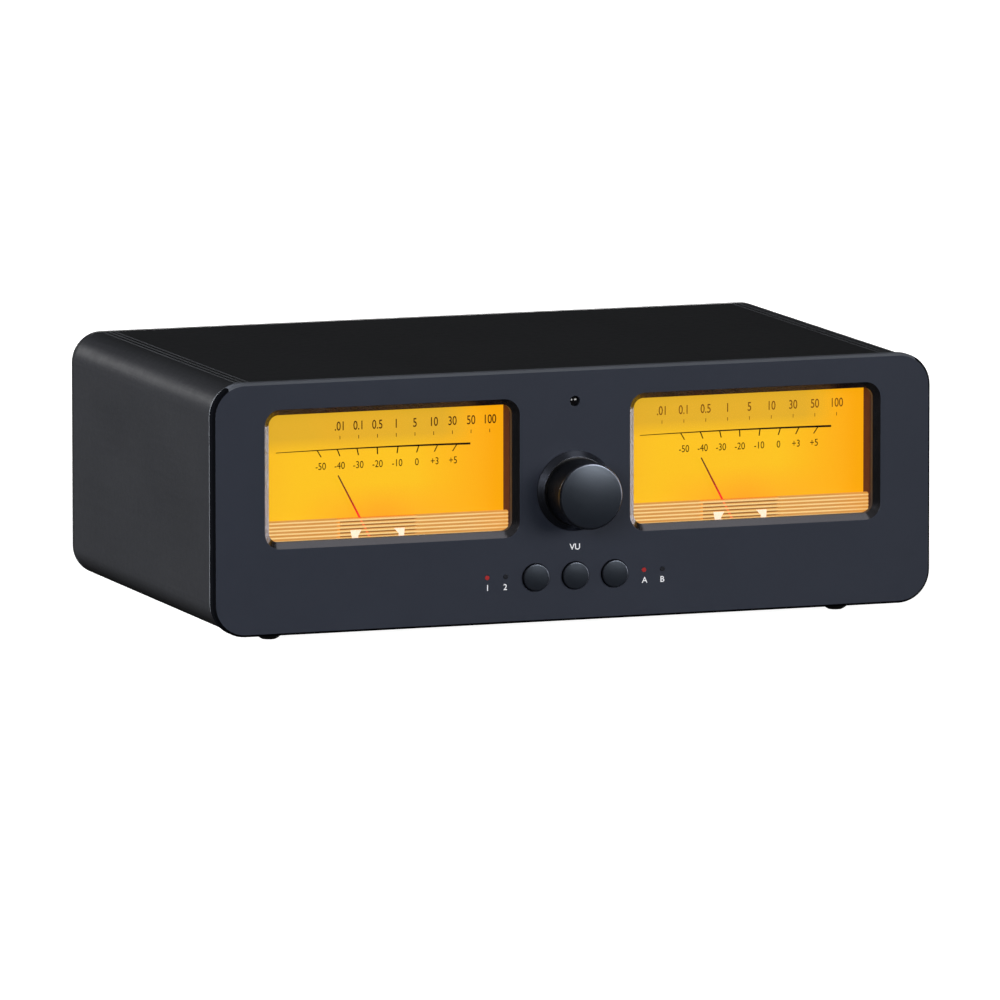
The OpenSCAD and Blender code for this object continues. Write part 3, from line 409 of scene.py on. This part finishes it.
def lit_white():
    """White plastic with a painted glow for the dial's light that it catches."""
    s = Shader("lit_white")
    fine = s.noise(0.0005, detail=2.0)
    colour = s.mix(s.spread(fine, 0.3, 0.7), linear(252, 226, 206), linear(246, 206, 176))
    light = s.add("Emission", {"Color": colour, "Strength": 0.9})
    paint = s.add("BsdfPrincipled", {"Base Color": linear(200, 180, 160), "Roughness": 0.5,
                                     "Normal": s.bump(fine, 0.000004, 0.00005)})
    both = s.add("AddShader", {0: paint.outputs[0], 1: light.outputs[0]})
    return s.surface(both.outputs[0])


def dress(name, material):
    """Gives one CAD node one material."""
    mesh = frame["nodes"][name].data
    mesh.materials.clear()
    mesh.materials.append(material)
    for face in mesh.polygons:
        face.material_index = 0


def dress_all():
    """Every node gets its slot's finish, but turned parts get their own, and meter housings one with a
    painted reflection of the dial.
    """
    slots = {part["node"]: part["material_slot"] for part in frame["record"]["subparts"]}
    turned = {"volume_knob": KNOB_METAL, "knob_collar": COLLAR_METAL}
    for name in frame["nodes"]:
        if name in turned:
            dress(name, turned[name])
        elif slots[name] == "button_plastic":
            dress(name, turned_metal(name + "_metal", linear(20, 24, 32), 0.3, name, 0.045,
                                     specular=0.85))
        elif name.startswith("meter_housing"):
            dress(name, HOUSING_PAINTED_REFLECTION)
        else:
            dress(name, FINISHES[slots[name]])


def cut_edges():
    """Bright slanted edges round the windows; the plate's rim gets a painted highlight on top and
    near-black painted shade elsewhere.
    """
    mesh = frame["nodes"]["front_plate"].data
    mesh.materials.append(CUT_EDGE)
    mesh.materials.append(RIM_PAINTED_SHADE)
    mesh.materials.append(RIM_PAINTED_HIGHLIGHT)
    for face in mesh.polygons:
        x, _, z = face.center
        inset = min(PLATE_HIGH.x - abs(x), z - PLATE_LOW.z, PLATE_HIGH.z - z)
        facing = abs(face.normal.y)
        if inset < 4 * MM and facing < 0.9:
            upright = face.normal.z / math.hypot(face.normal.x, face.normal.z)
            face.material_index = 3 if upright > 0.85 else 2
        elif 0.5 < facing < 0.9:
            face.material_index = 1


def paint_shade_on_flanks():
    """Knob and buttons get near-black painted shade on their sides and a bright turned rim; the
    collar's face gets the painted shade too.
    """
    for name in ("volume_knob", "button_left", "button_centre", "button_right", "knob_collar"):
        mesh = frame["nodes"][name].data
        mesh.materials.append(FLANK_PAINTED_SHADE)
        mesh.materials.append(TURNED_RIM)
        for face in mesh.polygons:
            flat = face.normal.y < -0.95
            if abs(face.normal.y) < 0.2 or (flat and name == "knob_collar"):
                face.material_index = 1
            elif not flat and name != "knob_collar":
                face.material_index = 2


def cut_grooves():
    """The slanted faces of the grooves along the top of the sleeve are lighter than the sleeve."""
    mesh = frame["nodes"]["case_sleeve"].data
    mesh.materials.append(GROOVE_CUT)
    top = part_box("case_sleeve")[1].z
    for face in mesh.polygons:
        if 0.6 < abs(face.normal.x) < 0.8 and face.center.z > top - 0.8 * MM:
            face.material_index = 1


def smooth_all():
    """Smooth shading with sharp edges kept, on every CAD node."""
    for name, thing in frame["nodes"].items():
        for face in thing.data.polygons:
            face.use_smooth = True
        thing.data.set_sharp_from_angle(angle=math.radians(28))


def darken_idle_indicators():
    """The second indicator of each pair isn't lit."""
    mesh = frame["nodes"]["indicator_pipes"].data
    mesh.materials.append(DARK_LENS)
    columns = sorted({round(v.co.x, 3) for v in mesh.vertices})
    low, high = min(columns) + FLANGE, max(columns) - FLANGE
    inner = min(abs(c) for c in columns) + FLANGE
    near = 0.002
    for face in mesh.polygons:
        x = face.center.x
        if abs(x - high) < near or abs(x + inner) < near:
            face.material_index = 1
    return low, -inner, inner, high


# ---------------------------------------------------------------- pieces


def piece(name, mesh, material, body="chassis"):
    """A new piece of the object that rides on a CAD body."""
    thing = bpy.data.objects.new(name, mesh)
    bpy.context.scene.collection.objects.link(thing)
    mesh.materials.append(material)
    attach(thing, body)
    return thing


def outline(build, points, depth, thickness=0.00004):
    """Adds a flat plate to a bmesh from points given as (x, height) in millimetres."""
    front = [build.verts.new(place(x, depth, h) + Vector((0, -thickness, 0))) for x, h in points]
    back = [build.verts.new(place(x, depth, h)) for x, h in points]
    build.faces.new(front)
    build.faces.new(back[::-1])
    for i in range(len(points)):
        j = (i + 1) % len(points)
        build.faces.new((front[i], back[i], back[j], front[j]))


def lettering(build, words, x, height, depth, size, facing=1, wide=1.0, bold=0.0):
    """Adds lettering to a bmesh. size is the height of a capital, facing is -1 on the rear panel."""
    curve = bpy.data.curves.new("lettering", "FONT")
    curve.body = words
    curve.align_x = "CENTER"
    curve.align_y = "CENTER"
    curve.size = size * MM / CAPITAL
    curve.extrude = 0.00002
    curve.offset = bold * MM
    thing = bpy.data.objects.new("lettering", curve)
    bpy.context.scene.collection.objects.link(thing)
    bpy.context.view_layer.update()
    mesh = bpy.data.meshes.new_from_object(thing.evaluated_get(bpy.context.evaluated_depsgraph_get()))
    stand = Matrix.Rotation(math.radians(90), 4, "X")
    if facing < 0:
        stand = Matrix.Rotation(math.radians(180), 4, "Z") @ stand
    spot = Matrix.Translation(place(x, depth, height))
    mesh.transform(spot @ stand @ Matrix.Diagonal((wide, 1, 1, 1)))
    build.from_mesh(mesh)
    bpy.data.objects.remove(thing)
    bpy.data.curves.remove(curve)
    bpy.data.meshes.remove(mesh)


def printed(name, material, marks, body="chassis"):
    """One piece made by a function that adds marks to a bmesh."""
    build = bmesh.new()
    marks(build)
    mesh = bpy.data.meshes.new(name)
    build.to_mesh(mesh)
    build.free()
    return piece(name, mesh, material, body)


LOWER_ROW = [(-23.2, "-50"), (-16.0, "-40"), (-8.9, "-30"), (-1.6, "-20"), (5.9, "-10"),
             (13.4, "0"), (20.2, "+3"), (27.2, "+5")]
UPPER_ROW = [".01", "0.1", "0.5", "1", "5", "10", "30", "50", "100"]


def scale_height(x):
    """The scale's line is a very flat arc, 0.35 mm lower at its ends."""
    return SCALE_H - (x / SCALE_HALF) ** 2 * 0.35


def scale_marks(mid, depth):
    """The line that thickens to the right, ticks below it and the lower row of numbers."""
    def marks(build):
        steps = [-SCALE_HALF + i * 70 / 24 for i in range(25)]
        top = [(mid + x, scale_height(x) + 0.11 + 0.0034 * (x + SCALE_HALF)) for x in steps]
        low = [(mid + x, scale_height(x) - 0.11 - 0.0034 * (x + SCALE_HALF)) for x in steps]
        outline(build, low + top[::-1], depth)
        for x, words in LOWER_ROW:
            lean = math.atan2(x, TO_PIVOT)
            foot = scale_height(x) - TICK
            shift = TICK * math.tan(lean)
            half = 0.2
            at = mid + x
            outline(build, [(at - shift - half, foot), (at - shift + half, foot),
                            (at + half, scale_height(x)), (at - half, scale_height(x))], depth)
            lettering(build, words, at - shift * 0.9, LOWER_H, depth, 2.4, wide=0.84)
    return marks


def upper_marks(first, last, depth):
    """The upper row of numbers, evenly spaced, with a short tick under each."""
    def marks(build):
        foot, top = UPPER_TICKS
        for i, words in enumerate(UPPER_ROW):
            at = first + (last - first) * i / (len(UPPER_ROW) - 1)
            lettering(build, words, at, UPPER_H, depth, 3.0, wide=0.74, bold=0.03)
            left, right = at - 0.11, at + 0.11
            outline(build, [(left, foot), (right, foot), (right, top), (left, top)], depth)
    return marks


def movement_ears(mid, depth):
    """Two white guides in front of the light bar, wide at the top."""
    left = [(-12.4, 30.9), (-10.4, 30.9), (-10.2, 32.2), (-9.1, 34.0), (-13.1, 34.0)]
    right = [(4.3, 30.9), (6.2, 30.9), (6.4, 34.0), (2.6, 34.0), (4.3, 32.2)]

    def marks(build):
        for shape in (left, right):
            outline(build, [(mid + x, height) for x, height in shape], depth, 0.0002)
    return marks


def meters():
    """The printed scales and the white guides of both meters."""
    # The guides glow with painted light from the dial.
    white = lit_white()
    bar_front = (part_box("meter_light_bars")[0].y - PLATE_LOW.y) / MM
    upper = {"left": (-15, 39, INK_BROWN), "right": (-30, 34, INK_FAINT)}
    for side, (first, last, ink) in upper.items():
        mid = centre("meter_dial_" + side)[0]
        face = (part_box("meter_dial_" + side)[0].y - PLATE_LOW.y) / MM
        printed("scale_" + side, INK_DARK, scale_marks(mid, face))
        printed("upper_scale_" + side, ink, upper_marks(mid + first, mid + last, face))
        printed("movement_guides_" + side, white, movement_ears(mid, bar_front - 0.02))


def front_legends():
    """VU under the knob, and a number or letter under each indicator."""
    low, minus, inner, high = darken_idle_indicators()
    knob_x = centre("volume_knob")[0]
    under = centre("indicator_pipes")[2] - 3.6

    def marks(build):
        lettering(build, "VU", knob_x, 25.3, 0, 2.05, bold=0.03)
        for x, words in ((low, "1"), (minus, "2"), (inner, "A"), (high, "B")):
            lettering(build, words, x / MM, under, 0, 2.0, bold=0.03)
    printed("front_legends", INK_LIGHT, marks)


def rear_legends():
    """Plain numbers, letters and signs beside the sockets and terminals."""
    back = (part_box("rear_panel")[1].y - PLATE_LOW.y) / MM
    caps = {name: centre(name) for name in frame["nodes"] if name.startswith("terminal_cap")}

    def marks(build):
        for name, (x, _, height) in caps.items():
            sign = "+" if name[-1] in "13" else "-"
            lettering(build, sign, x, height + 10.2, back, 2.6, facing=-1)
        for row in "ab":
            x, _, height = caps["terminal_cap_%s4" % row]
            lettering(build, row.upper(), x + 13.5, height, back, 3.2, facing=-1)
            for first, second, words in (("1", "2", "R"), ("3", "4", "L")):
                left = caps["terminal_cap_%s%s" % (row, first)]
                right = caps["terminal_cap_%s%s" % (row, second)]
                lettering(build, words, (left[0] + right[0]) / 2, height - 9.9, back, 2.2, facing=-1)
        low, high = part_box("phono_sockets")
        for x, words in ((low.x / MM + 7, "1"), (high.x / MM - 7, "2")):
            lettering(build, words, x, (high.z - PLATE_LOW.z) / MM + 4.0, back, 2.6, facing=-1)
        middle = centre("phono_sockets")
        for height, words in ((middle[2] + 11, "L"), (middle[2] - 11, "R")):
            lettering(build, words, middle[0], height, back, 2.2, facing=-1)
    printed("rear_legends", INK_LIGHT, marks)


# ---------------------------------------------------------------- studio


def area_light(name, azimuth, elevation, distance, size, power, target=(0, -0.03, 0.05), seen=True):
    """A soft lamp aimed at the object. azimuth 0 is straight in front, positive to the right."""
    data = bpy.data.lights.new(name, "AREA")
    data.shape = "RECTANGLE"
    data.size, data.size_y = size
    data.energy = power
    lamp_object = bpy.data.objects.new(name, data)
    bpy.context.scene.collection.objects.link(lamp_object)
    turn, lift = math.radians(azimuth), math.radians(elevation)
    ray = Vector((math.sin(turn) * math.cos(lift), -math.cos(turn) * math.cos(lift), math.sin(lift)))
    lamp_object.location = Vector(target) + ray * distance
    lamp_object.rotation_euler = (-ray).to_track_quat("-Z", "Y").to_euler()
    lamp_object.visible_camera = False
    lamp_object.visible_glossy = seen
    return lamp_object


def flagged(lamp_object, names, state):
    """The lamp shines on these CAD nodes only (INCLUDE) or on everything but them (EXCLUDE)."""
    group = bpy.data.collections.new(lamp_object.name + "_receivers")
    for name in names:
        group.objects.link(frame["nodes"][name])
    for member in group.collection_objects:
        member.light_linking.link_state = state
    lamp_object.light_linking.receiver_collection = group


def only_on(lamp_object, names):
    """The lamp shines on these CAD nodes and nothing else."""
    flagged(lamp_object, names, "INCLUDE")


def surround():
    """White to the camera; to everything else dim, and darkest just above the horizon."""
    world = bpy.data.worlds.new("studio")
    world.use_nodes = True
    bpy.context.scene.world = world
    tree = world.node_tree
    tree.nodes.clear()
    output = tree.nodes.new("ShaderNodeOutputWorld")
    background = tree.nodes.new("ShaderNodeBackground")
    path = tree.nodes.new("ShaderNodeLightPath")
    split = tree.nodes.new("ShaderNodeSeparateXYZ")
    coordinates = tree.nodes.new("ShaderNodeTexCoord")
    ramp = tree.nodes.new("ShaderNodeMapRange")
    mix = tree.nodes.new("ShaderNodeMix")
    mix.data_type = "RGBA"
    for name, value in (("From Min", 0.25), ("From Max", 0.9), ("To Min", 0.02), ("To Max", 0.10)):
        ramp.inputs[name].default_value = value
    mix.inputs[7].default_value = (1, 1, 1, 1)
    tree.links.new(coordinates.outputs["Generated"], split.inputs[0])
    tree.links.new(split.outputs["Z"], ramp.inputs["Value"])
    tree.links.new(ramp.outputs[0], mix.inputs[6])
    tree.links.new(path.outputs["Is Camera Ray"], mix.inputs[0])
    tree.links.new(mix.outputs[2], background.inputs["Color"])
    tree.links.new(background.outputs[0], output.inputs["Surface"])


def pale_floor():
    """A plain pale floor that meets the white behind it without a line."""
    s = Shader("floor")
    grain = s.noise(0.05, detail=3.0)
    colour = s.mix(s.spread(grain, 0.3, 0.7), (0.5, 0.5, 0.5, 1), (0.52, 0.52, 0.52, 1))
    paper = s.add("BsdfDiffuse", {"Color": colour, "Roughness": 0.9})
    light = s.add("Emission", {"Color": (1, 1, 1, 1), "Strength": 0.94})
    both = s.add("AddShader", {0: paper.outputs[0], 1: light.outputs[0]})
    bpy.ops.mesh.primitive_plane_add(size=30)
    floor = bpy.context.object
    floor.name = "floor"
    floor.data.materials.append(s.surface(both.outputs[0]))
    floor.visible_glossy = False
    floor.visible_diffuse = False


def lamps():
    """Softboxes round the object. Some are flagged off certain pieces."""
    dials = ["knob_collar", "volume_knob", "button_left", "button_centre", "button_right"]
    area_light("key", 30, 13, 4.0, (2.4, 1.2), 56)
    flagged(area_light("fill", -35, 14, 2.6, (1.6, 0.9), 34), dials[1:], "EXCLUDE")
    area_light("left_wall", -108, 8, 2.0, (1.0, 1.0), 86, seen=False)
    area_light("rear_left", -162, 10, 2.2, (0.5, 0.4), 0.78)
    area_light("right_wall", 84, 3, 2.0, (1.4, 1.0), 14)
    only_on(area_light("knob_box", 24, 25, 2.2, (1.1, 0.9), 31), dials)
    only_on(area_light("overhead", 66, 68, 1.6, (1.2, 0.6), 0.85), ["front_plate", "knob_collar"])
    back = [name for name in frame["nodes"] if re.match("rear|power|inlet|phono|terminal", name)]
    only_on(area_light("rear", 150, 20, 2.2, (1.2, 0.8), 16), back)


def camera():
    """A long lens, 19.6 degrees to the left of the front and 7.9 degrees above it."""
    data = bpy.data.cameras.new("camera")
    data.sensor_width = 36
    data.lens = 517.1
    data.clip_end = 100
    eye = bpy.data.objects.new("camera", data)
    bpy.context.scene.collection.objects.link(eye)
    eye.location = (-1.6549, -4.6390, 0.7201)
    aim = Vector((-0.0222, -0.0646, 0.0447))
    roll = Matrix.Rotation(math.radians(-0.04), 3, "Z").to_quaternion()
    eye.rotation_euler = ((aim - eye.location).to_track_quat("-Z", "Y") @ roll).to_euler()
    bpy.context.scene.camera = eye


smooth_all()
dress_all()
cut_edges()
paint_shade_on_flanks()
cut_grooves()
meters()
front_legends()
rear_legends()
surround()
pale_floor()
lamps()
camera()
bpy.context.scene.view_settings.view_transform = "Standard"
